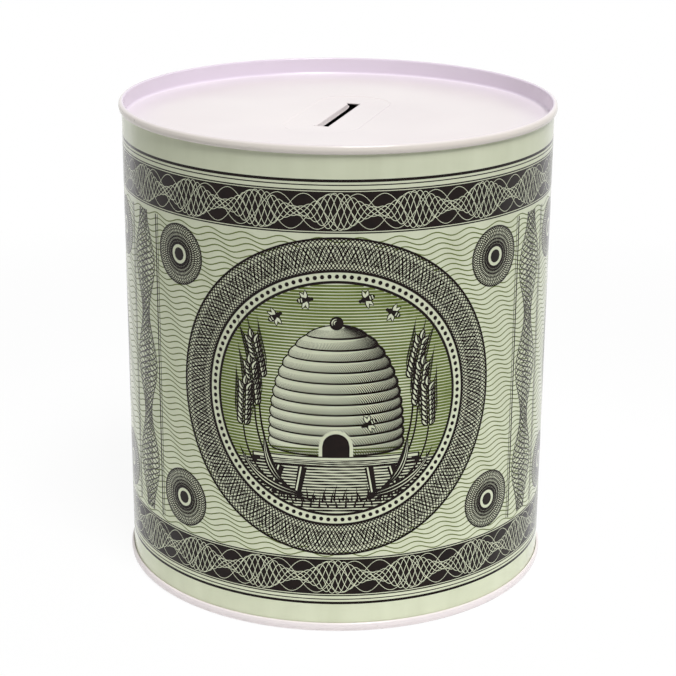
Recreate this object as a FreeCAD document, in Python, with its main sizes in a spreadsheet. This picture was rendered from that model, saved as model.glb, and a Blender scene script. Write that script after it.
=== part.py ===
import FreeCAD
import Part
import Sketcher
import os

# Tin money box: a sealed can of three tinplate pieces with a coin slot in its top end.
# A rolled and welded body is closed by two stamped ends, and each end is locked on by a double seam:
# five layers of plate, hook in hook, over a ring of lining compound. Nothing on it moves.
# Millimetres, +Z up, origin at the middle of the base, the coin slot along Y.

doc = FreeCAD.newDocument("tin_money_box")

# Driving dimensions
driving_dimensions = {
    "body_diameter": 130.0,      # outside of the rolled wall
    "can_height": 145.5,         # over both seams
    "body_plate": 0.25,          # thickness of the printed body plate
    "end_plate": 0.25,           # thickness of the enamelled end plate
    "seam_height": 2.6,          # from the seam's crown to its lower fold
    "body_hook": 1.6,            # length of the body's flange after seaming
    "cover_hook": 1.5,           # length of the end's curl after seaming
    "layer_gap": 0.05,           # between two layers in the seam
    "crown_space": 0.35,         # under the crown and above the body's flange, for the compound
    "compound_width": 0.5,       # of the squeezed ring of lining compound
    "hook_bend": 0.15,           # inside radius of both hooks' folds
    "crown_bend": 0.35,          # inside radius of the two bends at the crown
    "countersink_depth": 5.2,    # from the crown to the end's panel
    "countersink_bend": 1.0,     # inside radius where the chuck wall meets the panel
    "press_length": 56.0,        # of the shallow oval pressed into the top panel round the slot
    "press_width": 24.0,
    "press_depth": 0.4,
    "press_run": 1.2,            # width of the oval's sloping border
    "slot_length": 34.5,
    "slot_width": 4.2,           # clear way between the slot's two turned-down lips
    "lip_depth": 1.85,           # from the pressed floor's upper face to the lips' lower edges
    "lip_bend": 0.1,             # inside radius of the lips' bend
    "lip_root": 0.3,             # length of floor that each lip grows out of
    "lip_near_gap": 0.5,         # bare shear at the slot's -Y end
    "lip_far_gap": 2.6,          # bare shear at the slot's +Y end
    "weld_width": 0.8,           # of the body's welded lap
    "weld_rise": 0.1,            # of the lap above the wall
    "weld_margin": 0.5,          # between the lap's ends and the seams
    "weld_turn": 16.4,           # degrees round from +Y to the lap, which is behind the print's front
}
sizes = doc.addObject("Spreadsheet::Sheet", "sizes")
for row, (alias, value) in enumerate(driving_dimensions.items(), start=1):
    sizes.set(f"A{row}", alias)
    sizes.set(f"B{row}", str(value))
    sizes.setAlias(f"B{row}", alias)
doc.recompute()


class Size:
    """A length with the sheet formula that gives it, so that sums of sizes stay bound to the sheet."""

    def __init__(self, value, formula):
        self.value = value
        self.formula = formula

    def __add__(self, other):
        return Size(self.value + other.value, f"({self.formula} + {other.formula})")

    def __sub__(self, other):
        return Size(self.value - other.value, f"({self.formula} - {other.formula})")

    def __mul__(self, factor):
        return Size(self.value * factor, f"({self.formula} * {factor})")


def size(alias):
    return Size(float(getattr(sizes, alias)), f"sizes.{alias}")


# Places that follow from the driving dimensions
axis = ground = Size(0.0, "0")
crown_top = size("can_height")
body_gauge = size("body_plate")
end_gauge = size("end_plate")
layer_gap = size("layer_gap")
wall_outside = size("body_diameter") * 0.5
wall_inside = wall_outside - body_gauge
chuck_face = wall_inside - layer_gap - end_gauge
cover_hook_face = wall_outside + layer_gap
body_hook_face = cover_hook_face + end_gauge + layer_gap + body_gauge
seam_outside = body_hook_face + layer_gap + end_gauge
flange_depth = end_gauge + size("crown_space")


def level(depth, at_top):
    """The height that lies a depth inside the can from the top crown or from the base."""
    return crown_top - depth if at_top else ground + depth


def new_body(name):
    body = doc.addObject("PartDesign::Body", name)
    body.Label = name
    return body


def origin_plane(body, role):
    return next(feature for feature in body.Origin.OriginFeatures if feature.Role == role)


def new_sketch(body, name, role):
    sketch = body.newObject("Sketcher::SketchObject", name)
    sketch.AttachmentSupport = (origin_plane(body, role), [""])
    sketch.MapMode = "FlatFace"
    return sketch


def constrain(sketch, name, constraint, length):
    """Adds a dimension to the sketch under a name and binds it to the sheet."""
    sketch.renameConstraint(sketch.addConstraint(constraint), name)
    sketch.setExpression(f"Constraints.{name}", length.formula)


def place(sketch, name, line, end, direction, position):
    """Makes a line level or upright and sets how far it lies from the sketch's own axis."""
    if direction == "level":
        kind, distance, own_axis = "Horizontal", "DistanceY", -1
    else:
        kind, distance, own_axis = "Vertical", "DistanceX", -2
    sketch.addConstraint(Sketcher.Constraint(kind, line))
    if position.value == 0.0:
        sketch.addConstraint(Sketcher.Constraint("PointOnObject", line, end, own_axis))
    else:
        constrain(sketch, name, Sketcher.Constraint(distance, -1, 1, line, end, position.value), position)


def add_line(sketch, start, end):
    return sketch.addGeometry(Part.LineSegment(start, end), False)


def add_arc(sketch, centre, radius, start, end):
    """Adds the anticlockwise arc about a centre between two points."""
    circle = Part.Circle(centre, FreeCAD.Vector(0, 0, 1), radius)
    first = circle.parameter(start)
    last = circle.parameter(end)
    if last < first:
        last += circle.LastParameter
    return sketch.addGeometry(Part.ArcOfCircle(circle, first, last), False)


def draw_rectangle(sketch, left, right, low, high):
    corners = [FreeCAD.Vector(x.value, y.value, 0) for x, y in ((left, low), (right, low), (right, high), (left, high))]
    lines = [add_line(sketch, a, b) for a, b in zip(corners, corners[1:] + corners[:1])]
    for line, following in zip(lines, lines[1:] + lines[:1]):
        sketch.addConstraint(Sketcher.Constraint("Coincident", line, 2, following, 1))
    for line, name, direction, position in zip(lines, ("low", "right", "high", "left"),
                                               ("level", "upright") * 2, (low, right, high, left)):
        place(sketch, name, line, 1, direction, position)


def draw_oval(sketch, length, width):
    """Draws two straight sides along the sketch's upright axis with a half circle at each end."""
    radius = width * 0.5
    reach = (length - width) * 0.5
    far, near = FreeCAD.Vector(0, reach.value, 0), FreeCAD.Vector(0, -reach.value, 0)
    side = FreeCAD.Vector(radius.value, 0, 0)
    far_end = add_arc(sketch, far, radius.value, far + side, far - side)
    near_end = add_arc(sketch, near, radius.value, near - side, near + side)
    left = add_line(sketch, far - side, near - side)
    right = add_line(sketch, near + side, far + side)
    for line, arc_before, arc_after in ((left, far_end, near_end), (right, near_end, far_end)):
        sketch.addConstraint(Sketcher.Constraint("Tangent", arc_before, 2, line, 1))
        sketch.addConstraint(Sketcher.Constraint("Tangent", line, 2, arc_after, 1))
    for arc in (far_end, near_end):
        sketch.addConstraint(Sketcher.Constraint("PointOnObject", arc, 3, -2))
    sketch.addConstraint(Sketcher.Constraint("Equal", far_end, near_end))
    constrain(sketch, "radius", Sketcher.Constraint("Radius", far_end, radius.value), radius)
    constrain(sketch, "far_reach", Sketcher.Constraint("DistanceY", -1, 1, far_end, 3, reach.value), reach)
    constrain(sketch, "near_reach", Sketcher.Constraint("DistanceY", near_end, 3, -1, 1, reach.value), reach)


def corners_of(start, end, runs):
    """The ends of a path and the corners between its level and upright runs, as radius and height."""
    corners = [start]
    for (direction, position), (_, following) in zip(runs, runs[1:]):
        corners.append((following, position) if direction == "level" else (position, following))
    return corners + [end]


def headings_of(corners):
    points = [FreeCAD.Vector(radius.value, height.value, 0) for radius, height in corners]
    return points, [(b - a).normalize() for a, b in zip(points, points[1:])]


def draw_face(sketch, name, start, end, runs, radii):
    """Draws one face of a bent plate: straight runs with an arc at each corner. Gives its two end lines."""
    points, headings = headings_of(corners_of(start, end, runs))
    setbacks = [0.0] + [radius.value for radius in radii] + [0.0]
    lines = []
    for index, (direction, position) in enumerate(runs):
        heading = headings[index]
        lines.append(add_line(sketch, points[index] + heading * setbacks[index],
                              points[index + 1] - heading * setbacks[index + 1]))
        place(sketch, f"{name}_run_{index + 1}", lines[-1], 1, direction, position)
    for index, radius in enumerate(radii):
        into, out_of = headings[index] * radius.value, headings[index + 1] * radius.value
        corner = points[index + 1]
        centre = corner - into + out_of
        if into.cross(out_of).z > 0:
            arc, first, last = add_arc(sketch, centre, radius.value, corner - into, corner + out_of), 1, 2
        else:
            arc, first, last = add_arc(sketch, centre, radius.value, corner + out_of, corner - into), 2, 1
        sketch.addConstraint(Sketcher.Constraint("Tangent", lines[index], 2, arc, first))
        sketch.addConstraint(Sketcher.Constraint("Tangent", lines[index + 1], 1, arc, last))
        constrain(sketch, f"{name}_bend_{index + 1}", Sketcher.Constraint("Radius", arc, radius.value), radius)
    return lines[0], lines[-1]


def draw_plate(sketch, start, end, runs, bends, gauge, side):
    """Draws the closed section of a bent plate from the path of one of its faces.

    Each run is level at a height or upright at a radius, and bends are inside radii. Side is +1 where
    the plate lies to the right of the path and -1 where it lies to the left.
    """
    _, headings = headings_of(corners_of(start, end, runs))
    back_runs = []
    for (direction, position), heading in zip(runs, headings):
        outwards = side * (-heading.x if direction == "level" else heading.y)
        back_runs.append((direction, position + gauge if outwards > 0 else position - gauge))
    front_radii, back_radii = [], []
    for bend, into, out_of in zip(bends, headings, headings[1:]):
        folds_towards_front = side * into.cross(out_of).z > 0
        front_radii.append(bend if folds_towards_front else bend + gauge)
        back_radii.append(bend + gauge if folds_towards_front else bend)

    cut_ends = []
    for (radius, height), (direction, position) in ((start, back_runs[0]), (end, back_runs[-1])):
        cut_ends.append((radius, position) if direction == "level" else (position, height))
    front_lines = draw_face(sketch, "front", start, end, runs, front_radii)
    back_lines = draw_face(sketch, "back", *cut_ends, back_runs, back_radii)

    for name, point, front_line, back_line, front_end, cut_end, (direction, _) in zip(
            ("start", "end"), (1, 2), front_lines, back_lines, (start, end), cut_ends, (runs[0], runs[-1])):
        cut, _ = headings_of([front_end, cut_end])
        edge = add_line(sketch, *cut)
        sketch.addConstraint(Sketcher.Constraint("Coincident", edge, 1, front_line, point))
        sketch.addConstraint(Sketcher.Constraint("Coincident", edge, 2, back_line, point))
        if direction == "level":
            place(sketch, f"{name}_cut", edge, 1, "upright", front_end[0])
        else:
            place(sketch, f"{name}_cut", edge, 1, "level", front_end[1])


def revolve(body, name, sketch):
    revolution = body.newObject("PartDesign::Revolution", name)
    revolution.Profile = sketch
    revolution.ReferenceAxis = (sketch, ["V_Axis"])
    revolution.Angle = 360.0


def extrude(body, kind, name, sketch, length):
    feature = body.newObject(f"PartDesign::{kind}", name)
    feature.Profile = sketch
    feature.setExpression("Length", length.formula)
    return feature


# Can body: the rolled wall, with its flange hooked out and back at each rim
can_body = new_body("can_body")
lower_flange = level(flange_depth, at_top=False)
upper_flange = level(flange_depth, at_top=True)
body_section = new_sketch(can_body, "body_section", "XZ_Plane")
draw_plate(
    body_section,
    start=(body_hook_face, lower_flange + size("body_hook")),
    end=(body_hook_face, upper_flange - size("body_hook")),
    runs=[("upright", body_hook_face), ("level", lower_flange), ("upright", wall_inside),
          ("level", upper_flange), ("upright", body_hook_face)],
    bends=[size("hook_bend")] * 4,
    gauge=body_gauge,
    side=1,
)
revolve(can_body, "rolled_wall", body_section)

# Welded lap: a low strip up the back of the body, between the two seams
weld_foot = level(size("seam_height") + size("weld_margin"), at_top=False)
weld_head = level(size("seam_height") + size("weld_margin"), at_top=True)
weld_section = new_sketch(can_body, "weld_section", "XY_Plane")
weld_section.setExpression("AttachmentOffset.Base.z", weld_foot.formula)
weld_section.setExpression("AttachmentOffset.Rotation.Angle", "sizes.weld_turn")
draw_rectangle(weld_section, size("weld_width") * -0.5, size("weld_width") * 0.5,
               wall_outside - body_gauge * 0.5, wall_outside + size("weld_rise"))
extrude(can_body, "Pad", "welded_lap", weld_section, weld_head - weld_foot)


def add_end(name, at_top):
    """Adds a stamped end: flat panel, countersink, chuck wall, crown, seaming wall and cover hook."""
    end = new_body(name)
    panel = level(size("countersink_depth"), at_top)
    crown = level(ground, at_top)
    seam_fold = level(size("seam_height"), at_top)
    hook_tip = level(size("seam_height") - size("cover_hook"), at_top)
    section = new_sketch(end, f"{name}_section", "XZ_Plane")
    draw_plate(
        section,
        start=(axis, panel),
        end=(cover_hook_face, hook_tip),
        runs=[("level", panel), ("upright", chuck_face), ("level", crown), ("upright", seam_outside),
              ("level", seam_fold), ("upright", cover_hook_face)],
        bends=[size("countersink_bend"), size("crown_bend"), size("crown_bend"), size("hook_bend"),
               size("hook_bend")],
        gauge=end_gauge,
        side=1 if at_top else -1,
    )
    revolve(end, f"{name}_stamping", section)
    return end


def add_compound(name, at_top):
    """Adds the ring of lining compound that is squeezed between an end's crown and the body's flange."""
    ring = new_body(name)
    middle = (wall_inside + body_hook_face) * 0.5
    half_width = size("compound_width") * 0.5
    outer_face = level(end_gauge + layer_gap, at_top)
    inner_face = level(flange_depth - layer_gap, at_top)
    low, high = (inner_face, outer_face) if at_top else (outer_face, inner_face)
    section = new_sketch(ring, f"{name}_section", "XZ_Plane")
    draw_rectangle(section, middle - half_width, middle + half_width, low, high)
    revolve(ring, f"{name}_ring", section)
    return ring


bottom_end = add_end("bottom_end", at_top=False)
bottom_seam_compound = add_compound("bottom_seam_compound", at_top=False)
top_end = add_end("top_end", at_top=True)
top_seam_compound = add_compound("top_seam_compound", at_top=True)

# Pressed oval of the top end: the floor round the slot sits a little lower than the panel
panel_top = level(size("countersink_depth"), at_top=True)
floor_top = panel_top - size("press_depth")
for kind, name, face in (("Pad", "pressed_underside", panel_top - end_gauge), ("Pocket", "pressed_floor", panel_top)):
    oval = new_sketch(top_end, f"{name}_outline", "XY_Plane")
    oval.setExpression("AttachmentOffset.Base.z", face.formula)
    draw_oval(oval, size("press_length"), size("press_width"))
    pressing = extrude(top_end, kind, name, oval, size("press_depth"))
    pressing.Reversed = kind == "Pad"
    pressing.setExpression("TaperAngle", "-atan(sizes.press_run / sizes.press_depth)")

# Coin slot: pierced through the floor, with both long edges turned down into the can
half_clear = size("slot_width") * 0.5
half_pierced = half_clear + size("lip_bend") + end_gauge
half_length = size("slot_length") * 0.5
slot = new_sketch(top_end, "slot_outline", "XY_Plane")
slot.setExpression("AttachmentOffset.Base.z", floor_top.formula)
draw_rectangle(slot, half_pierced * -1, half_pierced, half_length * -1, half_length)
extrude(top_end, "Pocket", "coin_slot", slot, end_gauge * 2)

lip_section = new_sketch(top_end, "lip_section", "XZ_Plane")
lip_section.setExpression("AttachmentOffset.Base.z", (half_length - size("lip_near_gap")).formula)
draw_plate(
    lip_section,
    start=(half_pierced + size("lip_root"), floor_top),
    end=(half_clear, floor_top - size("lip_depth")),
    runs=[("level", floor_top), ("upright", half_clear)],
    bends=[size("lip_bend")],
    gauge=end_gauge,
    side=-1,
)
lip = extrude(top_end, "Pad", "right_lip", lip_section,
              size("slot_length") - size("lip_near_gap") - size("lip_far_gap"))
lip.Reversed = True
left_lip = top_end.newObject("PartDesign::Mirrored", "left_lip")
left_lip.Originals = [lip]
left_lip.MirrorPlane = (origin_plane(top_end, "YZ_Plane"), [""])
top_end.Tip = left_lip

doc.recompute()
for item in doc.Objects:
    if "Invalid" in item.State or "Error" in item.State:
        raise RuntimeError(f"{item.Label} did not build: {item.State}")

pieces = [can_body, bottom_end, bottom_seam_compound, top_end, top_seam_compound]
for piece in pieces:
    if piece.Shape.isNull() or not piece.Shape.isValid() or len(piece.Shape.Solids) != 1:
        raise RuntimeError(f"{piece.Label} is not one valid solid")

os.makedirs("parts", exist_ok=True)
for piece in pieces:
    piece.Shape.exportStep(f"parts/{piece.Label}.step")
    print(f"{piece.Label}: {piece.Shape.Volume:.1f} mm3")
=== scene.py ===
import cmath
import math

import bmesh
import bpy
from mathutils import Matrix, Vector


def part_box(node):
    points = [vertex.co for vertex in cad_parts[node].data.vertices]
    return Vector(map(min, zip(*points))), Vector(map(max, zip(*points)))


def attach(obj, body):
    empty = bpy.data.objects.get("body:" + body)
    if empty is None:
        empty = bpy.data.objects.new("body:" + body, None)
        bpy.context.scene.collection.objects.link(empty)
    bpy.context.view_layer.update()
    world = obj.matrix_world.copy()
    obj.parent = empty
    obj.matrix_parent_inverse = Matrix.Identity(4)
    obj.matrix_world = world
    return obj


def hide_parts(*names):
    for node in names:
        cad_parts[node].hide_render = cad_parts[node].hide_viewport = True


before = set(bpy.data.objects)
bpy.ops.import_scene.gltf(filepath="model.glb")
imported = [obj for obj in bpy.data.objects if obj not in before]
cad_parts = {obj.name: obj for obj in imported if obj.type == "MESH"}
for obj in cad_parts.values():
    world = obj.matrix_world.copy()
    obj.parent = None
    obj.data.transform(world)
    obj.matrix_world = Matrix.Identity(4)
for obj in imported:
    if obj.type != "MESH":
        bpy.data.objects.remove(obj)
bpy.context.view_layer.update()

# Can body: one sheet of tinplate, coated pale sage and varnished, rolled into a tube and welded at the back.
# Its two edges are folded into the seams, so the wall shows between them. Its inside is bare metal, which
# shows through the slot.
MM = 0.001
wall_radius = 65.0 * MM
plate = 0.25 * MM
wall_steps = 384
base_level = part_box("bottom_end")[0].z
crown_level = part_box("top_end")[1].z
wall_tuck = 1.0 * MM
wall_foot, wall_head = base_level + wall_tuck, crown_level - wall_tuck
print_turn = math.radians(16.4)
weld_turn = math.pi
weld_width, weld_rise = 0.8 * MM, 0.1 * MM
weld_foot, weld_head = 3.1 * MM, 142.4 * MM
weld_across_steps, weld_along_steps = 8, 40
weld_end_power = 40
bare_half = 2.4 * MM
bend_segments = 8
sharp_fold = math.radians(40)
same_place = 0.0001 * MM


def srgb(red, green, blue):
    """A linear colour from the sRGB values of a swatch."""
    def linear(value):
        value /= 255
        return value / 12.92 if value <= 0.04045 else ((value + 0.055) / 1.055) ** 2.4
    return (linear(red), linear(green), linear(blue), 1.0)


def new_piece(name, bm, slot, *materials):
    """Turns a bmesh into an object of the can, smooth up to its folds, and hangs it on the can's one body."""
    mesh = bpy.data.meshes.new(name)
    bm.to_mesh(mesh)
    bm.free()
    for material in materials:
        mesh.materials.append(material)
    mesh.shade_smooth()
    mesh.set_sharp_from_angle(angle=sharp_fold)
    piece = bpy.data.objects.new(name, mesh)
    bpy.context.scene.collection.objects.link(piece)
    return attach(piece, "root")


def draw_profile(bm, corners, roundings):
    """A wire through corners of radius and height, each rounded by its own radius."""
    verts = [bm.verts.new((radius, 0.0, height)) for radius, height in corners]
    for a, b in zip(verts, verts[1:]):
        bm.edges.new((a, b))
    for vert, rounding in zip(verts, roundings):
        if rounding:
            bmesh.ops.bevel(bm, geom=[vert], offset=rounding, offset_type="OFFSET", affect="VERTICES",
                            segments=bend_segments, profile=0.5, material=-1)


def spin_profile(bm):
    """Turns the wire round the can's axis into a closed round sheet."""
    bmesh.ops.spin(bm, geom=bm.verts[:] + bm.edges[:], axis=(0, 0, 1), cent=(0, 0, 0), dvec=(0, 0, 0),
                   angle=math.tau, steps=wall_steps, use_merge=True, use_normal_flip=False,
                   use_duplicate=False)
    bmesh.ops.remove_doubles(bm, verts=bm.verts, dist=same_place)
    bmesh.ops.recalc_face_normals(bm, faces=bm.faces)


def on_wall(turn, lift, level):
    """A point at a turn from the print's middle, at a lift off the wall and a level over the base."""
    radius = wall_radius + lift
    return (radius * math.sin(print_turn + turn), -radius * math.cos(print_turn + turn), base_level + level)


def new_finish(name, colour, roughness):
    """A new material, with its node tree and its shader."""
    material = bpy.data.materials.new(name)
    material.use_nodes = True
    shader = material.node_tree.nodes["Principled BSDF"]
    shader.inputs["Base Color"].default_value = colour
    shader.inputs["Roughness"].default_value = roughness
    return material, material.node_tree, shader


def mottle(tree, spot, detail=3.0, stretch=(1.0, 1.0, 1.0)):
    """Noise on the can's own coordinates, with spots of a given size."""
    place = tree.nodes.new("ShaderNodeTexCoord")
    mapping = tree.nodes.new("ShaderNodeMapping")
    mapping.inputs["Scale"].default_value = [1 / (spot * share) for share in stretch]
    noise = tree.nodes.new("ShaderNodeTexNoise")
    noise.inputs["Scale"].default_value = 1.0
    noise.inputs["Detail"].default_value = detail
    tree.links.new(place.outputs["Object"], mapping.inputs["Vector"])
    tree.links.new(mapping.outputs["Vector"], noise.inputs["Vector"])
    return noise.outputs["Fac"]


def ranged(tree, value, low, high, start=0.3, end=0.7):
    """A value of a pattern, spread over a new range. A noise seldom leaves 0.3 to 0.7."""
    spread = tree.nodes.new("ShaderNodeMapRange")
    for name, number in (("From Min", start), ("From Max", end), ("To Min", low), ("To Max", high)):
        spread.inputs[name].default_value = number
    tree.links.new(value, spread.inputs["Value"])
    return spread.outputs["Result"]


def tinted(tree, share, first, second):
    """A colour between two, by a share that the pattern gives."""
    mix = tree.nodes.new("ShaderNodeMix")
    mix.data_type = "RGBA"
    for socket, colour in zip((item for item in mix.inputs if item.type == "RGBA"), (first, second)):
        if isinstance(colour, tuple):
            socket.default_value = colour
        else:
            tree.links.new(colour, socket)
    tree.links.new(share, mix.inputs["Factor"])
    return next(item for item in mix.outputs if item.type == "RGBA")


def embossed(tree, shader, *heights):
    """Bumps, each a pattern with its own depth, one on top of the other."""
    normal = None
    for pattern, depth in heights:
        bump = tree.nodes.new("ShaderNodeBump")
        bump.inputs["Strength"].default_value = 1.0
        bump.inputs["Distance"].default_value = depth
        tree.links.new(pattern, bump.inputs["Height"])
        if normal:
            tree.links.new(normal, bump.inputs["Normal"])
        normal = bump.outputs["Normal"]
    for name in ("Normal", "Coat Normal"):
        tree.links.new(normal, shader.inputs[name])


def varnish(tree, shader):
    """The clear coat over the whole print: glossy, with a fine peel and the slow waves of a rolled sheet."""
    shader.inputs["Specular IOR Level"].default_value = 0.05
    shader.inputs["Coat Weight"].default_value = 1.0
    shader.inputs["Coat IOR"].default_value = 1.2
    shader.inputs["Coat Roughness"].default_value = 0.13
    cloud_size, least_matt, most_matt = 14 * MM, 0.34, 0.48
    wave_size, wave_stretch, wave_depth = 22 * MM, (1, 1, 5), 1.0 * MM
    peel_size, peel_depth = 0.7 * MM, 0.006 * MM
    tree.links.new(ranged(tree, mottle(tree, cloud_size), least_matt, most_matt), shader.inputs["Roughness"])
    waves = mottle(tree, wave_size, detail=1.0, stretch=wave_stretch)
    peel = mottle(tree, peel_size, detail=2.0)
    embossed(tree, shader, (waves, wave_depth), (peel, peel_depth))


sage, tree, shader = new_finish("sage_coating", srgb(219, 224, 197), roughness=0.4)
# Painted reflections: the sage's soft vertical streaks stand in for the studio mirrored in the varnish.
reflection_streak_size, reflection_streak_stretch = 7 * MM, (1, 1, 4)
painted_reflection_streaks = ranged(tree, mottle(tree, reflection_streak_size, stretch=reflection_streak_stretch), 0.0, 1.0)
tree.links.new(tinted(tree, painted_reflection_streaks, srgb(217, 222, 194), srgb(226, 231, 204)), shader.inputs["Base Color"])
varnish(tree, shader)

bare_tin, tree, shader = new_finish("bare_tinplate", srgb(196, 196, 192), roughness=0.35)
shader.inputs["Metallic"].default_value = 1.0
grain_size, grain_stretch, grain_depth = 0.5 * MM, (1, 1, 24), 0.004 * MM
rolled = mottle(tree, grain_size, detail=2.0, stretch=grain_stretch)
tree.links.new(ranged(tree, rolled, low=0.26, high=0.46), shader.inputs["Roughness"])
tree.links.new(tinted(tree, rolled, srgb(184, 184, 180), srgb(205, 205, 202)), shader.inputs["Base Color"])
embossed(tree, shader, (rolled, grain_depth))

bm = bmesh.new()
draw_profile(bm, [(wall_radius - plate, wall_foot), (wall_radius, wall_foot), (wall_radius, wall_head),
                  (wall_radius - plate, wall_head), (wall_radius - plate, wall_foot)], [])
spin_profile(bm)
bmesh.ops.rotate(bm, verts=bm.verts, cent=(0, 0, 0), matrix=Matrix.Rotation(print_turn, 3, "Z"))
weld_middle = Vector(on_wall(weld_turn, 0.0, 0.0))
for face in bm.faces:
    middle = face.calc_center_median()
    inside = middle.xy.length < wall_radius - plate / 4
    if inside or (middle.xy - weld_middle.xy).length < bare_half:
        face.material_index = 1
wall = new_piece("printed_wall", bm, "printed_body", sage, bare_tin)

weld_metal, tree, shader = new_finish("weld_metal", srgb(150, 150, 148), roughness=0.4)
shader.inputs["Metallic"].default_value = 1.0
nugget_size, nugget_stretch, nugget_depth = 0.7 * MM, (6, 6, 1), 0.02 * MM
nuggets = mottle(tree, nugget_size, detail=1.0, stretch=nugget_stretch)
tree.links.new(tinted(tree, nuggets, srgb(112, 112, 116), srgb(172, 168, 160)), shader.inputs["Base Color"])
tree.links.new(ranged(tree, nuggets, low=0.3, high=0.5), shader.inputs["Roughness"])
embossed(tree, shader, (nuggets, nugget_depth))

bm = bmesh.new()
for vert in bmesh.ops.create_grid(bm, x_segments=weld_across_steps, y_segments=weld_along_steps,
                                  size=1.0)["verts"]:
    across, along = vert.co.xy
    vert.co = on_wall(weld_turn + across * weld_width / 2 / wall_radius,
                      weld_rise * (1 - across ** 2) * (1 - along ** weld_end_power),
                      weld_foot + (weld_head - weld_foot) * (1 + along) / 2)
new_piece("weld_lap", bm, "printed_body", weld_metal)
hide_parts("can_body")

# Tint and rules: the first two printings, laid on the flat sheet before it was rolled. Fine olive waves tint
# the field, and a broad and a fine umber rule close it above and below. Each line is a film of ink, and its
# place and width on the flat sheet are in millimetres.
film_lift = 0.02 * MM
film_step = 0.003 * MM
sheet_half = 199.0
sheet_steps = 400
field_foot, field_head = 24.6, 119.6
tint_pitch, tint_width = 1.6, 0.32
tint_wave, tint_swing, tint_drift = 11.0, 0.7, 0.5
tint_lap = 1.0
tint_layer = 0
rules = ((135.6, 0.8), (134.4, 0.3), (9.0, 0.8), (10.2, 0.3))
side_rule_width = 0.8
side_rule_foot, side_rule_head = 8.6, 136.0
side_rule_steps = 40
medallion_places = (-136.0, 0.0, 136.0)
medallion_level = 72.1
medallion_radius = 47.5


def new_ink(name, dark, light):
    """Printing ink under the varnish, a little uneven where the blanket laid it."""
    ink, tree, shader = new_finish(name, dark, roughness=0.4)
    patch_size = 2.2 * MM
    patchy = ranged(tree, mottle(tree, patch_size, detail=4.0), 0.0, 1.0)
    tree.links.new(tinted(tree, patchy, dark, light), shader.inputs["Base Color"])
    varnish(tree, shader)
    return ink


olive_ink = new_ink("olive_ink", srgb(98, 114, 48), srgb(112, 126, 62))
umber_ink = new_ink("umber_ink", srgb(16, 7, 5), srgb(27, 15, 11))
wet_ribbon = bpy.data.meshes.new("wet_ribbon")


def wrapped(place, layer):
    """A place on the flat sheet, along it and up it as one complex number, brought onto the rolled wall."""
    return on_wall(place.real * MM / wall_radius, film_lift + film_step * layer, place.imag * MM)


def ink_line(film, path, width, steps, layer):
    """Lays a ribbon of ink along a path. A path, and a width that varies, take the share of the way."""
    ribbon = bmesh.new()
    verts = bmesh.ops.create_grid(ribbon, x_segments=steps, y_segments=1, size=1.0)["verts"]
    near = 0.01 / steps
    for step in range(steps + 1):
        share = step / steps
        ahead = path(share + near) - path(share - near)
        across = ahead / abs(ahead) * 0.5j * (width(share) if callable(width) else width)
        verts[step].co = wrapped(path(share) - across, layer)
        verts[step + steps + 1].co = wrapped(path(share) + across, layer)
    ribbon.to_mesh(wet_ribbon)
    ribbon.free()
    film.from_mesh(wet_ribbon)


def round_the_can(level):
    """A level path from one edge of the sheet to the other."""
    return lambda share: complex(sheet_half * (2 * share - 1), level)


def dry(name, film, ink):
    """Closes a film's rings and points, maps it as the flat sheet lay and makes it a piece of the print."""
    bmesh.ops.remove_doubles(film, verts=film.verts, dist=same_place)
    flat = film.loops.layers.uv.new("OFBake")
    for face in film.faces:
        for loop in face.loops:
            place = loop.vert.co
            turn = math.remainder(math.atan2(place.x, -place.y) - print_turn, math.tau)
            loop[flat].uv = (0.5 + turn / math.tau, (place.z - base_level) / (crown_level - base_level))
    return new_piece(name, film, "printed_body", ink)


olive, umber = bmesh.new(), bmesh.new()
row_count = int((field_head - field_foot) / tint_pitch) + 1
for row in range(row_count):
    level = field_foot + row * tint_pitch
    chord = math.sqrt(max(0.0, (medallion_radius - tint_lap) ** 2 - (level - medallion_level) ** 2))
    ends = [-sheet_half]
    for middle in medallion_places:
        ends += [middle - chord, middle + chord]
    ends.append(sheet_half)
    for start, end in zip(ends[::2], ends[1::2]):
        def wave(share):
            along = start + (end - start) * share
            swing = tint_swing * math.sin(math.tau * along / tint_wave + tint_drift * row)
            return complex(along, level + swing)
        steps = max(4, int(end - start))
        ink_line(olive, wave, tint_width, steps, tint_layer)
for level, width in rules:
    ink_line(umber, round_the_can(level), width, sheet_steps, tint_layer)
for side in (-1, 1):
    def side_rule(share):
        return complex(side * (sheet_half + side_rule_width / 2),
                       side_rule_foot + (side_rule_head - side_rule_foot) * share)
    ink_line(umber, side_rule, side_rule_width, side_rule_steps, tint_layer)
dry("olive_tint", olive, olive_ink)
dry("umber_rules", umber, umber_ink)

# Bands: two umber bars round the can, with lathe-work left open in them, so that the sage shows through.
# A plaited strand swells and narrows along each bar, over a slower wave, between two fine edge lines.
band_levels = (127.0, 17.4)
band_height = 12.4
band_repeats = 18
band_repeat = 2 * sheet_half / band_repeats
plait_strands, plait_width, plait_steps = 6, 0.18, 1400
plait_swell, plait_pulse = 3.3, 2.0
ripple_strands, ripple_width, ripple_steps = 3, 0.16, 1000
ripple_swing = 5.0
edge_offset, edge_width = 5.7, 0.24
bar_layer, open_layer = 1, 4

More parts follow.
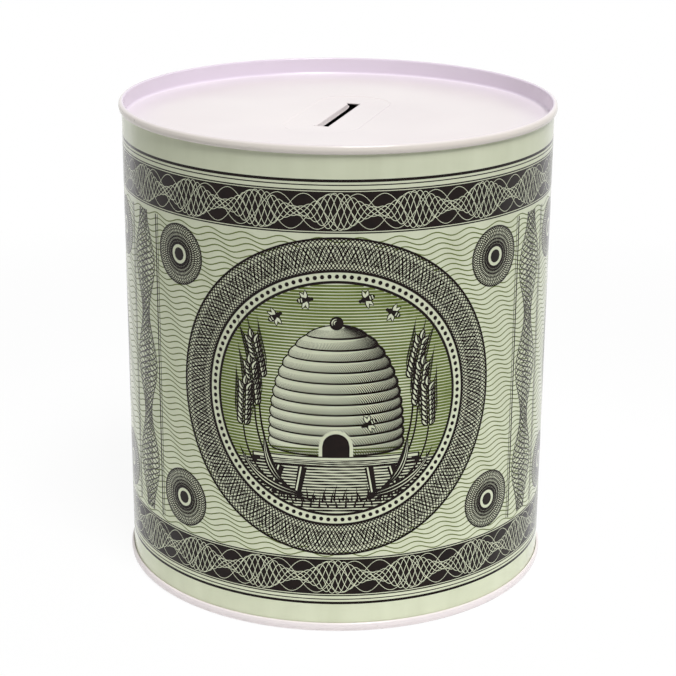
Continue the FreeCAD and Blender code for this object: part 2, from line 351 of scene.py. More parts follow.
umber, open_lines = bmesh.new(), bmesh.new()
for middle in band_levels:
    ink_line(umber, round_the_can(middle), band_height, sheet_steps, bar_layer)
    for strand in range(plait_strands):
        def plait(share):
            along = sheet_half * (2 * share - 1)
            turn = math.tau * along / band_repeat
            swell = plait_swell + plait_pulse * math.cos(turn)
            return complex(along, middle + swell * math.sin(2 * turn + math.tau * strand / plait_strands))
        ink_line(open_lines, plait, plait_width, plait_steps, open_layer)
    for strand in range(ripple_strands):
        def ripple(share):
            along = sheet_half * (2 * share - 1)
            turn = math.tau * along / band_repeat
            return complex(along, middle + ripple_swing * math.sin(turn + math.tau * strand / ripple_strands))
        ink_line(open_lines, ripple, ripple_width, ripple_steps, open_layer)
    for side in (-1, 1):
        ink_line(open_lines, round_the_can(middle + side * edge_offset), edge_width, sheet_steps, open_layer)
dry("umber_bands", umber, umber_ink)
dry("band_lathe_work", open_lines, sage)

# Medallions: three round pictures a third of a turn apart, printed in umber over olive. Each has a ring of
# lathe-work and one of beads, and within them a straw hive on a bench among wheat, drawn as an engraving.
# A drawing's layer counts the films of ink between it and the wall, so that it covers what lies behind it.
picture_radius = 34.6
horizon = -18.5
sky_pitch = 0.9
ground_tone, ground_edge_tone, ground_ripple_tone = 0.30, 0.25, 0.10
ripple_across, ripple_up = 0.9, 2.3
sky_tone, sky_edge_tone, cloud_tone = 0.40, 0.28, 0.07
cloud_across, cloud_up, cloud_slant, cloud_start = 0.16, 0.33, 0.05, 2.0
hive_foot, hive_height, hive_half = -14.5, 37.0, 19.0
hive_dome = 2.5
hive_coils, coil_swell = 12, 0.55
hive_strokes = 76
hive_tilt = 0.13
knob_radius, knob_rise = 2.0, 0.4
door_half, door_height, door_edge, door_drop = 3.9, 7.2, 1.0, 0.3
plank_top, plank_height, plank_half = -17.0, 3.4, 24.5
plank_lit_width, plank_lit_inset = 0.75, 0.5
plank_grain = ((1.55, 0.9), (2.05, 0.75), (2.6, 0.94))
plank_grain_width, plank_grain_swell, plank_grain_waver = 0.16, 0.12, 0.14
leg_places, leg_length, leg_splay = (-16.0, -9.5, 9.5, 16.0), 8.5, 0.16
leg_width, leg_taper, leg_lit_width, leg_lit_length = 2.6, 0.6, 0.45, 8.3
grass_blades, grass_width, grass_inset, grass_level, grass_level_change = 64, 54.0, 0.6, -31.5, 1.2
blade_height, blade_height_change, blade_lean, blade_width, blade_tip = 3.6, 1.8, 1.5, 0.62, 0.02
sky_layer, engraving_layer = 1, 2
leg_layer, plank_layer, grass_layer = 2, 6, 8
stalk_layer, leaf_layer, ear_layer, pair_layers = 11, 12, 14, 4
wing_layer, bee_layer = 4, 8


def ink_ring(film, middle, radius, width, steps, layer):
    """A round line."""
    ink_line(film, lambda share: middle + radius * cmath.exp(1j * math.tau * share), width, steps, layer)


def ink_disc(film, middle, radius, steps, layer):
    """A full round spot, as a line that swells to its own length."""
    ink_line(film, lambda share: middle + radius * (2 * share - 1),
             lambda share: 2 * radius * math.sqrt(max(0.0, 1 - (2 * share - 1) ** 2)), steps, layer)


def ink_lace(film, middle, radius, swing, lobes, strands, width, steps, layer):
    """A rosette of a geometric lathe: one wavy ring, turned on by a share of its lobe for each strand."""
    for strand in range(strands):
        def turned(share):
            wave = math.sin(lobes * math.tau * share + math.tau * strand / strands)
            return middle + (radius + swing * wave) * cmath.exp(1j * math.tau * share)
        ink_line(film, turned, width, steps, layer)


def ink_drop(film, base, heading, length, width, layer):
    """A drop with a broad foot and a pointed tip, as a grain or a wing."""
    ink_line(film, lambda share: base + heading * length * share,
             lambda share: width * math.sin(math.pi * share ** 0.75), steps=8, layer=layer)


def bent(start, pull, end):
    """A curved path from start to end, drawn towards a third point."""
    return lambda share: (1 - share) ** 2 * start + 2 * share * (1 - share) * pull + share ** 2 * end


def hive_reach(rise):
    """Half the hive's width at a share of its height, with the swell of each straw coil."""
    dome = math.sqrt(max(0.0, 1 - max(0.0, rise) ** hive_dome))
    return hive_half * dome + coil_swell * abs(math.sin(math.pi * hive_coils * rise)) * min(1.0, 2 * dome)


def hive_point(rise, turn):
    """A point of the hive's front, by its share of the height and its turn from the middle."""
    reach = hive_reach(rise)
    return complex(reach * math.sin(turn),
                   hive_foot + hive_height * rise - hive_tilt * reach * math.cos(turn))


def draw_sky(middle):
    """Level lines that thicken towards the frame, olive in the sky and umber on the ground."""
    for row in range(1, int(2 * picture_radius / sky_pitch) + 1):
        level = -picture_radius + row * sky_pitch
        half = math.sqrt(max(0.0, picture_radius ** 2 - level ** 2))
        rise = (level - hive_foot) / hive_height
        hidden = hive_reach(rise) if 0 <= rise < 1 else 0.0
        steps = max(2, int(half - hidden))
        for side in (-1, 1):
            def tone(share):
                across = side * (hidden + (half - hidden) * share)
                edge = (across ** 2 + level ** 2) / picture_radius ** 2
                if level < horizon:
                    ripple = math.sin(ripple_across * across + ripple_up * level)
                    return ground_tone + ground_edge_tone * edge + ground_ripple_tone * ripple
                cloud = (math.sin(cloud_across * across + cloud_start)
                         * math.sin(cloud_up * level + cloud_slant * across))
                return sky_tone + sky_edge_tone * edge + cloud_tone * cloud
            ink_line(umber if level < horizon else olive,
                     lambda share: middle + complex(side * (hidden + (half - hidden) * share), level),
                     tone, steps, sky_layer)


def draw_hive(middle):
    """Coils of straw, in slanting strokes that are heavier below each coil and away from the light."""
    drawn_turn, light_turn, stroke_slant = 0.98 * math.pi, 0.45, 0.10
    light_stroke, dark_gain, dark_contrast = 0.30, 0.62, 1.6
    least_narrowed, short_stroke, stroke_taper = 0.25, 0.62, 0.72
    coil_line, coil_line_gain = 0.34, 0.40
    lit_outline, dark_outline = 0.35, 0.7
    gleam_radii, gleam_start, gleam_sweep, gleam_width = (0.7, 1.3), 0.45, 0.75, 0.34
    for coil in range(hive_coils):
        low, high = coil / hive_coils, (coil + 1) / hive_coils
        for stroke in range(hive_strokes):
            turn = (stroke + 0.5 - hive_strokes / 2) / hive_strokes * drawn_turn
            shade = 0.5 + 0.5 * math.sin(turn - light_turn)
            narrowed = max(least_narrowed, math.cos(turn)) * hive_reach((low + high) / 2) / hive_half
            weight = (light_stroke + dark_gain * shade ** dark_contrast) * narrowed
            length = short_stroke + (1 - short_stroke) * shade
            ink_line(umber, lambda share: middle + hive_point(low + (high - low) * share * length,
                                                              turn + stroke_slant * (1 - share)),
                     lambda share: weight * (1 - stroke_taper * share), steps=4, layer=engraving_layer)
        ink_line(umber, lambda share: middle + hive_point(low, math.pi * (share - 0.5)),
                 lambda share: coil_line + coil_line_gain * share, steps=40, layer=engraving_layer)
    for side, width in ((-1, lit_outline), (1, dark_outline)):
        ink_line(umber, lambda share: middle + hive_point(share, side * math.pi / 2), width, steps=96,
                 layer=engraving_layer)
    knob = middle + complex(0, hive_foot + hive_height + knob_rise)
    ink_disc(umber, knob, knob_radius, steps=14, layer=engraving_layer + 2)
    for radius in gleam_radii:
        def gleam(share):
            return knob + radius * cmath.exp(1j * math.pi * (gleam_start + gleam_sweep * share))
        ink_line(open_lines, gleam, lambda share: gleam_width * math.sin(math.pi * share), steps=10,
                 layer=engraving_layer + 4)

    door_foot = hive_foot - hive_tilt * hive_half - door_drop
    door_jamb = door_height - door_half
    for film, edge, layer in ((open_lines, door_edge, engraving_layer + 2),
                              (umber, 0.0, engraving_layer + 4)):
        half = door_half + edge
        ink_disc(film, middle + complex(0, door_foot + door_jamb), half, steps=24, layer=layer)
        ink_line(film, lambda share: middle + complex(half * (2 * share - 1), door_foot + door_jamb / 2),
                 door_jamb, steps=12, layer=layer)


def draw_bench(middle):
    """A plank with its grain, on four splayed legs, each with a lit edge."""
    plank_foot = plank_top - plank_height

    def down_leg(leg, inset, length):
        return lambda share: middle + complex(leg * (1 + leg_splay * share) - inset,
                                              plank_foot - length * share)

    def along_plank(half, depth):
        return lambda share: middle + complex(half * (2 * share - 1), plank_top - depth)

    for leg in leg_places:
        ink_line(umber, down_leg(leg, 0.0, leg_length),
                 lambda share: leg_width - leg_taper * share, steps=6, layer=leg_layer)
        ink_line(open_lines, down_leg(leg, leg_lit_width, leg_lit_length), leg_lit_width, steps=6,
                 layer=leg_layer + 2)
    ink_line(umber, along_plank(plank_half, plank_height / 2), plank_height, steps=50, layer=plank_layer)
    ink_line(open_lines, along_plank(plank_half - plank_lit_inset, plank_lit_width), plank_lit_width,
             steps=50, layer=plank_layer + 2)
    for depth, length in plank_grain:
        def grain(share):
            waver = plank_grain_waver * math.sin(9 * share + depth)
            return middle + complex(plank_half * length * (2 * share - 1), plank_top - depth - waver)

        def grain_width(share):
            return plank_grain_width + plank_grain_swell * math.sin(31 * share + 5 * depth) ** 2
        ink_line(open_lines, grain, grain_width, steps=60, layer=plank_layer + 2)


def draw_grass(middle):
    """Blades along the foot of the picture. Sines of odd multiples give each its own height and lean."""
    for blade in range(grass_blades):
        across = grass_width * ((blade + 0.5) / grass_blades - 0.5)
        edge = -math.sqrt((picture_radius - grass_inset) ** 2 - across ** 2)
        root = middle + complex(across, max(edge, grass_level + grass_level_change * math.sin(2.1 * blade)))
        tall = blade_height + blade_height_change * math.sin(4.7 * blade)
        lean = blade_lean * math.sin(1.7 * blade)
        ink_line(umber, bent(root, root + complex(0.2 * lean, 0.6 * tall), root + complex(lean, tall)),
                 lambda share: blade_width * (1 - share) + blade_tip, steps=5, layer=grass_layer)


def draw_ear(base, heading, length):
    """An ear of wheat: pairs of grains up the stalk, each lapping the pair below, with their beards."""
    pairs = 8
    grain_lean, grain_offset, grain_length, grain_width = 0.52, 0.35, 3.8, 2.1
    lit_start, lit_length, lit_width = 0.5, 2.7, 1.15
    crease_side, crease_length, crease_width = 0.22, 2.6, 0.5
    beard_start, beard_rise, beard_reach, beard_width, beard_tip = 3.6, 1.8, 3.2, 0.24, 0.08
    for pair in range(pairs + 1):
        spot = base + heading * length * pair / pairs
        layer = ear_layer + pair_layers * pair
        for side in (-1, 1) if pair < pairs else (0,):
            lean = heading * cmath.exp(1j * grain_lean * side)
            root = spot + heading * 1j * grain_offset * side
            tip = root + lean * beard_start
            bend = tip + lean * beard_rise
            ink_line(umber, bent(tip, bend, bend + heading * beard_reach),
                     lambda share: beard_width * (1 - share) + beard_tip, steps=6, layer=layer)
            ink_drop(umber, root, lean, grain_length, grain_width, layer)
            ink_drop(open_lines, root + lean * lit_start, lean, lit_length, lit_width, layer + 2)
            ink_drop(umber, root + lean * complex(lit_start, -crease_side), lean, crease_length, crease_width,
                     layer + 3)


def draw_leaf(start, pull, end, width):
    """A blade of a leaf with two light veins."""
    path = bent(start, pull, end)
    vein_sides, vein_start, vein_length, vein_width = (-0.22, 0.16), 0.08, 0.8, 0.11

    def breadth(share):
        return width * math.sin(math.pi * share ** 0.6)

    ink_line(umber, path, breadth, steps=24, layer=leaf_layer)
    for offset in vein_sides:
        def vein(share):
            share = vein_start + vein_length * share
            ahead = path(share + 0.001) - path(share - 0.001)
            return path(share) + ahead / abs(ahead) * 1j * offset * breadth(share)
        ink_line(open_lines, vein, lambda share: vein_width * width * math.sin(math.pi * share), steps=20,
                 layer=leaf_layer + 2)


def draw_wheat(middle):
    """A sheaf on each side of the hive, the right one the left one's mirror image."""
    ears = ((27.2, -9.5, 93, 12.0, 7.0, 26.0),
            (23.6, -3.0, 84, 12.0, 9.5, 23.5),
            (21.6, 5.5, 77, 11.5, 12.5, 24.5))
    stalk_foot, stalk_pull_drop, stalk_width, stalk_taper = -30.5, 17.0, 0.75, 0.3
    for side in (-1, 1):
        def spot(across, level):
            return middle + complex(side * across, level)
        for across, level, aim, length, foot, pull in ears:
            turn = math.radians(aim)
            heading = complex(side * math.cos(turn), math.sin(turn))
            base = spot(across, level)
            ink_line(umber, bent(spot(foot, stalk_foot), spot(pull, level - stalk_pull_drop), base),
                     lambda share: stalk_width - stalk_taper * share, steps=20, layer=stalk_layer)
            draw_ear(base, heading, length)
        draw_leaf(spot(9.0, -29.0), spot(24.0, -27.5), spot(28.6, -15.5), 2.6)
        draw_leaf(spot(15.0, -26.0), spot(21.5, -20.5), spot(20.6, -10.5), 2.2)


def draw_bee(place, heading):
    """A bee from above: two pairs of wings, a striped body, a chest and a head."""
    shoulder, tail = place + heading * 0.4, place - heading * 2.3
    wing_length, wing_width = 3.0, 1.5
    lit_start, lit_length, lit_width = 0.45, 2.2, 0.8
    body_length, body_width = 3.6, 1.9
    stripes, stripe_length, stripe_width = (-1.5, -0.8), 1.1, 0.28
    chest, head = (1.2, 0.75), (2.1, 0.5)
    wing_sweeps = (2.1, 1.5, -2.1, -1.5)
    for sweep in wing_sweeps:
        wing = heading * cmath.exp(1j * sweep)
        ink_drop(umber, shoulder, wing, wing_length, wing_width, wing_layer)
        ink_drop(open_lines, shoulder + wing * lit_start, wing, lit_length, lit_width, wing_layer + 2)
    ink_drop(umber, tail, heading, body_length, body_width, bee_layer)
    for forward, radius in (chest, head):
        ink_disc(umber, place + heading * forward, radius, steps=8, layer=bee_layer)
    for stripe in stripes:
        ink_line(open_lines, lambda share: place + heading * complex(stripe, stripe_length * (share - 0.5)),
                 stripe_width, steps=2, layer=bee_layer + 2)


olive, umber, open_lines = bmesh.new(), bmesh.new(), bmesh.new()
frame_radius = 42.8
coarse_lace = {"swing": 4.5, "lobes": 20, "strands": 12, "width": 0.30, "steps": 800}
fine_lace = {"swing": 2.4, "lobes": 40, "strands": 5, "width": 0.24, "steps": 1000}
frame_lines = ((medallion_radius, 0.5), (38.0, 0.6), (picture_radius + 0.3, 0.8))
bead_count, bead_ring, bead_radius = 112, 36.5, 0.62
bees = ((-17.5, 24.0, 35), (-9.0, 29.5, 10), (16.0, 25.5, 150), (8.5, 30.0, 200), (9.5, -7.0, 205))
for along in medallion_places:
    middle = complex(along, medallion_level)
    for lace in (coarse_lace, fine_lace):
        ink_lace(umber, middle, frame_radius, **lace, layer=engraving_layer)
    for radius, width in frame_lines:
        ink_ring(umber, middle, radius, width, steps=240, layer=engraving_layer)
    for bead in range(bead_count):
        ink_disc(umber, middle + bead_ring * cmath.exp(1j * math.tau * bead / bead_count), bead_radius,
                 steps=8, layer=engraving_layer)
    draw_sky(middle)
    draw_hive(middle)
    draw_bench(middle)
    draw_grass(middle)
    draw_wheat(middle)
    for across, level, aim in bees:
        draw_bee(middle + complex(across, level), cmath.exp(1j * math.radians(aim)))
dry("medallion_sky", olive, olive_ink)
dry("medallion_engraving", umber, umber_ink)
dry("medallion_lights", open_lines, sage)

# Columns and rosettes: the rest of the umber printing. A plaited column stands on each side of the middle
# medallion, and a small lathe-turned rosette fills each corner that the round frames leave.
column_places = (-68.0, 68.0)
column_foot, column_height = 25.0, 94.2
column_repeats = 3
column_repeat = column_height / column_repeats
column_strands, column_width, column_swell, column_pulse = 9, 0.34, 4.4, 2.0
core_strands, core_width, core_swing, core_turns = 4, 0.26, 2.0, 12
column_lines = ((7.6, 0.5), (8.6, 0.25))
rosette_radius, rosette_rim, rosette_heart = 8.8, 0.4, 1.9
rosette_lace = {"radius": 5.7, "swing": 2.8, "lobes": 8, "strands": 8, "width": 0.28, "steps": 240}
rosette_offset, rosette_levels = 49.5, (109.6, 34.6)
rosette_ground_layer, rosette_layer = 3, 5

umber, open_lines = bmesh.new(), bmesh.new()
for along in column_places:
    for strand in range(column_strands):
        def plait(share):
            turn = math.tau * column_height * (share - 0.5) / column_repeat
            swell = column_swell + column_pulse * math.cos(turn)
            return complex(along + swell * math.sin(2 * turn + math.tau * strand / column_strands),
                           column_foot + column_height * share)
        ink_line(umber, plait, column_width, steps=320, layer=engraving_layer)
    for strand in range(core_strands):
        def core(share):
            swing = core_swing * math.sin(core_turns * math.tau * share + math.tau * strand / core_strands)
            return complex(along + swing, column_foot + column_height * share)
        ink_line(umber, core, core_width, steps=300, layer=engraving_layer)
    for side in (-1, 1):
        for offset, width in column_lines:
            ink_line(umber, lambda share: complex(along + side * offset, column_foot + column_height * share),
                     width, steps=40, layer=engraving_layer)
for middle in medallion_places:
    for side in (-1, 1):
        for level in rosette_levels:
            spot = complex(middle + side * rosette_offset, level)
            ink_disc(open_lines, spot, rosette_radius, steps=40, layer=rosette_ground_layer)
            ink_lace(umber, spot, **rosette_lace, layer=rosette_layer)
            ink_ring(umber, spot, rosette_radius, rosette_rim, steps=100, layer=rosette_layer)
            ink_disc(umber, spot, rosette_heart, steps=12, layer=rosette_layer)
dry("columns_and_rosettes", umber, umber_ink)
dry("rosette_grounds", open_lines, sage)

# Stamped ends: tinplate discs in lilac-white enamel, folded with the body's flange into a double seam.
# Panel, countersink, chuck wall and crown are one stamping, rolled under at the seam's outside.
seam_height = 2.6 * MM
seam_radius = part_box("top_end")[1].x
crown_lean, seam_lean = 0.2 * MM, 0.23 * MM
belly_level, waist_level = 1.2 * MM, 1.55 * MM
countersink_depth = 5.2 * MM
countersink_rounding = 0.8 * MM
chuck_rounding, crown_rounding = 0.5 * MM, 0.74 * MM
belly_rounding, hem_rounding, hook_rounding = 0.16 * MM, 0.45 * MM, 0.2 * MM
fold_gap, open_joint = 0.05 * MM, 0.1 * MM
chuck_radius = wall_radius - 2 * plate - fold_gap
hook_radius = wall_radius + open_joint
hook_depth = 1.1 * MM
# Radii of the painted shade on the enamel: pink on the panel near the countersink, lilac on the chuck wall.
painted_pink_shade_from, painted_pink_shade_to = 52.0 * MM, 63.0 * MM
painted_lilac_shade_from, painted_lilac_shade_to = 63.7 * MM, 64.3 * MM
crown_from, crown_to = 64.7 * MM, 65.2 * MM
bead_from, bead_to = 65.4 * MM, 65.85 * MM


def axis_distance(tree):
    """How far a point lies from the can's axis."""
    place = tree.nodes.new("ShaderNodeTexCoord")
    level = tree.nodes.new("ShaderNodeVectorMath")
    level.operation = "MULTIPLY"
    level.inputs[1].default_value = (1, 1, 0)
    distance = tree.nodes.new("ShaderNodeVectorMath")
    distance.operation = "LENGTH"
    tree.links.new(place.outputs["Object"], level.inputs[0])
    tree.links.new(level.outputs["Vector"], distance.inputs[0])
    return distance.outputs["Value"]


def product(tree, first, second):
    """The product of two shares."""
    times = tree.nodes.new("ShaderNodeMath")
    times.operation = "MULTIPLY"
    tree.links.new(first, times.inputs[0])
    tree.links.new(second, times.inputs[1])
    return times.outputs["Value"]


def new_enamel(name, bead):
    """White enamel, a little cloudy, nicked on the bead, with painted shade: pinker towards the countersink,
    lilac in it.
    """
    enamel, tree, shader = new_finish(name, srgb(232, 223, 224), roughness=0.22)
    cloud_size, gloss_size, nick_size = 30 * MM, 25 * MM, 1.8 * MM

    def from_axis(start, end):
        return ranged(tree, axis_distance(tree), 0.0, 1.0, start, end)

    cloudy = ranged(tree, mottle(tree, cloud_size, detail=1.0), 0.0, 1.0)
    white = tinted(tree, cloudy, srgb(230, 221, 221), srgb(235, 227, 226))
    # Painted shade: the panel turns pinker towards the countersink and the chuck wall lilac, where the enamel
    # lies in shade.
    pinkish_painted_shade = tinted(tree, from_axis(painted_pink_shade_from, painted_pink_shade_to), white, srgb(231, 222, 228))
    lilac = tinted(tree, from_axis(painted_lilac_shade_from, painted_lilac_shade_to), pinkish_painted_shade, srgb(228, 216, 230))
    crown = tinted(tree, from_axis(crown_from, crown_to), lilac, white)
    # The bead's outside takes the given colour; on the top end it is a painted warm reflection of the wall.
    outside = tinted(tree, from_axis(bead_from, bead_to), crown, bead)
    nicks = ranged(tree, mottle(tree, nick_size, detail=1.0), 0.0, 1.0, start=0.74, end=0.78)
    worn = product(tree, from_axis(seam_radius - seam_lean / 2, seam_radius), nicks)
    tree.links.new(tinted(tree, worn, outside, srgb(196, 188, 182)), shader.inputs["Base Color"])
    gloss = mottle(tree, gloss_size, detail=1.0)
    tree.links.new(ranged(tree, gloss, low=0.19, high=0.25), shader.inputs["Roughness"])
    return enamel


def draw_end(bm, crown, inwards, panel_reach):
    """Spins an end's section. Inwards is -1 for the top end, whose panel lies below, and 1 for the base."""
    panel = crown + inwards * countersink_depth
    fold = crown + inwards * seam_height
    draw_profile(bm, [(panel_reach, panel), (chuck_radius, panel), (chuck_radius, crown),
                      (seam_radius - crown_lean, crown), (seam_radius, crown + inwards * belly_level),
                      (seam_radius, crown + inwards * waist_level),
                      (seam_radius - seam_lean, fold), (hook_radius, fold),
                      (hook_radius, crown + inwards * hook_depth)],
                 [0, countersink_rounding, chuck_rounding, crown_rounding, belly_rounding, belly_rounding,
                  hem_rounding, hook_rounding, 0])
    spin_profile(bm)


def thicken(bm):
    """Gives a stamping its plate, inwards from the enamel, with bare metal on the far side."""
    for item in bmesh.ops.solidify(bm, geom=bm.faces[:], thickness=plate)["geom"]:
        if isinstance(item, bmesh.types.BMFace):
            item.material_index = 1


bm = bmesh.new()
draw_end(bm, base_level, 1, 0.0)
thicken(bm)
base_enamel = new_enamel("base_enamel", srgb(235, 226, 227))
base = new_piece("base_end", bm, "white_enamel", base_enamel, bare_tin)
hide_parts("bottom_end", "bottom_seam_compound")

# Top end with the coin slot: the same stamping, with a shallow oval pressed in its panel round the slot.
# The slot is lanced, not cut out: its two long sides are turned down as lips, so that coins don't catch on
# a raw edge, and the lips are torn at the far end.
oval_length, oval_width, oval_depth, oval_run = 56.0 * MM, 24.0 * MM, 0.25 * MM, 0.95 * MM
slot_length, slot_width = 34.5 * MM, 3.5 * MM
lip_rounding = 0.55 * MM
lip_depth, lip_lean = 1.4 * MM, 0.45 * MM
lip_near_gap, lip_far_gap = 0.5 * MM, 0.4 * MM
lip_torn_length, lip_torn_rise = 3.2 * MM, 0.5 * MM
panel_join = 60.0 * MM
slot_end_steps = 24
slot_side_steps = wall_steps // 2 - slot_end_steps
press_steps, lip_bend_steps = 6, 6
near_enough = 0.001 * MM


def oval_point(share, length, width):
    """A point of an oval with straight sides, by its share of the way round from the right side's middle."""
    radius = width / 2
    straight = length - width
    way = share * (2 * straight + math.tau * radius)
    if way < straight / 2:
        return radius, way
    way -= straight / 2
    if way < math.pi * radius:
        turn = way / radius
        return radius * math.cos(turn), straight / 2 + radius * math.sin(turn)
    way -= math.pi * radius
    if way < straight:
        return -radius, straight / 2 - way
    way -= straight
    if way < math.pi * radius:
        turn = way / radius
        return -radius * math.cos(turn), -straight / 2 - radius * math.sin(turn)
    return radius, way - math.pi * radius - straight / 2


def slot_point(index):
    """A point of the pierced slot's outline. The corners fall on whole steps."""
    half_width, half_length = slot_width / 2 + lip_rounding, slot_length / 2
    right_near, right_far = (half_width, -half_length), (half_width, half_length)
    left_near, left_far = (-half_width, -half_length), (-half_width, half_length)
    index += slot_side_steps // 2
    for step_count, start, end in ((slot_side_steps, right_near, right_far),
                                   (slot_end_steps, right_far, left_far),
                                   (slot_side_steps, left_far, left_near),
                                   (slot_end_steps, left_near, right_near),
                                   (slot_side_steps, right_near, right_far)):
        if index < step_count:
            share = index / step_count
            return tuple(a + (b - a) * share for a, b in zip(start, end))
        index -= step_count


def extrude_ring(bm, edges):
    """Extrudes a run of edges in place and gives the new vertices and the new run."""
    grown = bmesh.ops.extrude_edge_only(bm, edges=edges)["geom"]
    verts = {item for item in grown if isinstance(item, bmesh.types.BMVert)}
    run = [item for item in grown if isinstance(item, bmesh.types.BMEdge) and verts.issuperset(item.verts)]
    return verts, run


bm = bmesh.new()
draw_end(bm, crown_level, -1, panel_join)
panel_level = crown_level - countersink_depth
rim = [edge for edge in bm.edges if edge.is_boundary
       and all(abs(vert.co.xy.length - panel_join) < near_enough for vert in edge.verts)]
step_round = bm.verts.layers.int.new("step_round")
for vert in {vert for edge in rim for vert in edge.verts}:
    vert[step_round] = round(math.atan2(vert.co.y, vert.co.x) / math.tau * wall_steps) % wall_steps

for step in range(press_steps + 1):
    share = step / press_steps
    shrink = 2 * oval_run * share
    drop = oval_depth * share * share * (3 - 2 * share)
    verts, rim = extrude_ring(bm, rim)
    for vert in verts:
        x, y = oval_point(vert[step_round] / wall_steps, oval_length - shrink, oval_width - shrink)
        vert.co = (x, y, panel_level - drop)
floor_level = panel_level - oval_depth
verts, rim = extrude_ring(bm, rim)
for vert in verts:
    vert.co = (*slot_point(vert[step_round]), floor_level)

lip_near, lip_far = lip_near_gap - slot_length / 2, slot_length / 2 - lip_far_gap
lip_line = slot_width / 2 + lip_rounding
lip = [edge for edge in rim
       if all(lip_near - near_enough < vert.co.y < lip_far and abs(vert.co.x) > lip_line - near_enough
              for vert in edge.verts)]
for step in range(1, lip_bend_steps + 2):
    verts, lip = extrude_ring(bm, lip)
    turn = min(step / lip_bend_steps, 1.0) * math.pi / 2
    drop = lip_rounding * (1 - math.cos(turn)) if step <= lip_bend_steps else lip_depth
    lean = 0.0 if step <= lip_bend_steps else lip_lean
    for vert in verts:
        vert.co.x = math.copysign(slot_width / 2 + lip_rounding * (1 - math.sin(turn)) - lean, vert.co.x)
        torn = max(0.0, 1 - (lip_far - vert.co.y) / lip_torn_length)
        vert.co.z = floor_level - min(drop, lip_depth - lip_torn_rise * torn ** 2)
bmesh.ops.recalc_face_normals(bm, faces=bm.faces)
thicken(bm)
# Its bead colour is warmer than the enamel: a painted reflection of the sage wall beneath the bead.
top_enamel = new_enamel("top_enamel", srgb(238, 230, 221))
top = new_piece("top_end_with_slot", bm, "white_enamel", top_enamel, bare_tin)
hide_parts("top_end", "top_seam_compound")

# Studio: a floor and a white surround. The floor's colour is a painted pool of light: white near the can,
# dark further off, though the camera and shiny surfaces see it white, save for the can's faint shadow. A soft
# main light hangs above in front, and three weak ones fill the sides and the back; shiny surfaces don't
# mirror those, since they would outshine the white surround. The camera stands where the photograph's did,
# for a square picture.
image_side = 676
focal_pixels = 1874.24
camera_distance = 588.52 * MM
camera_rise = math.radians(18.432)
camera_roll = 0.0067
target_right, target_level = 0.45 * MM, 68.64 * MM
middle_level = (base_level + crown_level) / 2

out = Vector((math.sin(print_turn), -math.cos(print_turn), 0.0))
right = Vector((math.cos(print_turn), math.sin(print_turn), 0.0))
up = Vector((0.0, 0.0, 1.0))
eye = (out * math.cos(camera_rise) + up * math.sin(camera_rise)) * camera_distance + up * middle_level
target = right * target_right + up * target_level
camera_data = bpy.data.cameras.new("camera")
camera_data.sensor_fit = "HORIZONTAL"
camera_data.angle = 2 * math.atan(image_side / 2 / focal_pixels)
camera_data.clip_start = 0.01
camera = bpy.data.objects.new("camera", camera_data)
bpy.context.scene.collection.objects.link(camera)
look = (target - eye).to_track_quat("-Z", "Y").to_matrix().to_4x4()
camera.matrix_world = Matrix.Translation(eye) @ look @ Matrix.Rotation(camera_roll, 4, "Z")
bpy.context.scene.camera = camera


def seen_directly(tree):
    """1 for what the camera sees, itself or in a mirror or through glass, and 0 for the light on things."""
    path = tree.nodes.new("ShaderNodeLightPath")
    total = path.outputs["Is Camera Ray"]
    for name in ("Is Glossy Ray", "Is Transmission Ray"):
        add = tree.nodes.new("ShaderNodeMath")
        add.operation = "MAXIMUM"
        tree.links.new(total, add.inputs[0])
        tree.links.new(path.outputs[name], add.inputs[1])
        total = add.outputs["Value"]
    return total


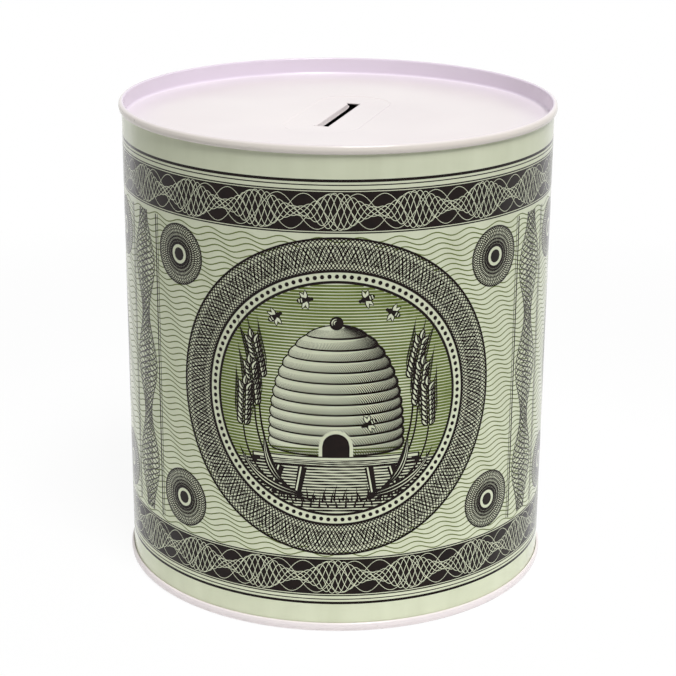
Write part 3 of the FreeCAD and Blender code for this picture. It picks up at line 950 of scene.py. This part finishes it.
floor_half = 3.0
floor_white_share = 0.92
lit_pool_reach, lit_pool_fade_end = 0.15, 0.4
floor_lit_pool_colour, floor_unlit_colour = (0.95, 0.95, 0.95, 1.0), (0.15, 0.15, 0.15, 1.0)
bm = bmesh.new()
bmesh.ops.create_grid(bm, x_segments=1, y_segments=1, size=floor_half)
bmesh.ops.translate(bm, verts=bm.verts, vec=(0, 0, base_level))
floor_mesh = bpy.data.meshes.new("floor")
bm.to_mesh(floor_mesh)
bm.free()
floor = bpy.data.objects.new("floor", floor_mesh)
bpy.context.scene.collection.objects.link(floor)
floor_paint, tree, shader = new_finish("floor_painted_light_pool", floor_lit_pool_colour, roughness=0.9)
# Painted pool of light: the floor's colour fades from white near the can to dark away from it, standing in
# for light that falls only near the can.
lit_pool_fading = ranged(tree, axis_distance(tree), 0.0, 1.0, lit_pool_reach, lit_pool_fade_end)
tree.links.new(tinted(tree, lit_pool_fading, floor_lit_pool_colour, floor_unlit_colour), shader.inputs["Base Color"])
glow = tree.nodes.new("ShaderNodeEmission")
blend = tree.nodes.new("ShaderNodeMixShader")
whitening = ranged(tree, axis_distance(tree), floor_white_share, 1.0, lit_pool_reach, lit_pool_fade_end)
tree.links.new(product(tree, whitening, seen_directly(tree)), blend.inputs["Fac"])
tree.links.new(shader.outputs["BSDF"], blend.inputs[1])
tree.links.new(glow.outputs["Emission"], blend.inputs[2])
tree.links.new(blend.outputs["Shader"], tree.nodes["Material Output"].inputs["Surface"])
floor_paint.cycles.emission_sampling = "NONE"
floor_mesh.materials.append(floor_paint)


def soft_light(name, place, width, height, watts, mirrored):
    """An area light aimed at the middle of the can. Shiny surfaces mirror it or not."""
    data = bpy.data.lights.new(name, "AREA")
    data.shape = "RECTANGLE"
    data.size = width
    data.size_y = height
    data.energy = watts
    lamp = bpy.data.objects.new(name, data)
    bpy.context.scene.collection.objects.link(lamp)
    look = (up * middle_level - place).to_track_quat("-Z", "Y").to_matrix().to_4x4()
    lamp.matrix_world = Matrix.Translation(place) @ look
    lamp.visible_glossy = mirrored


main_place = out * 1.0 + right * 0.42 + up * 2.21
left_place = right * -0.8 - out * 0.35 + up * 0.2
right_place = right * 0.8 - out * 0.35 + up * 0.2
back_place = out * -0.87 + up * 0.18
soft_light("main_light", main_place, width=0.7, height=0.95, watts=50, mirrored=True)
soft_light("left_light", left_place, width=0.7, height=1.0, watts=2.2, mirrored=False)
soft_light("right_light", right_place, width=0.64, height=1.0, watts=2.0, mirrored=False)
soft_light("back_light", back_place, width=1.2, height=0.36, watts=1.36, mirrored=False)

ambient = 0.2
world = bpy.data.worlds.new("surround")
world.use_nodes = True
tree = world.node_tree
background = tree.nodes["Background"]
background.inputs["Color"].default_value = (1, 1, 1, 1)
tree.links.new(ranged(tree, seen_directly(tree), ambient, 1.0, 0.0, 1.0), background.inputs["Strength"])
world.cycles.sampling_method = "NONE"
bpy.context.scene.world = world
bpy.context.scene.view_settings.view_transform = "Standard"
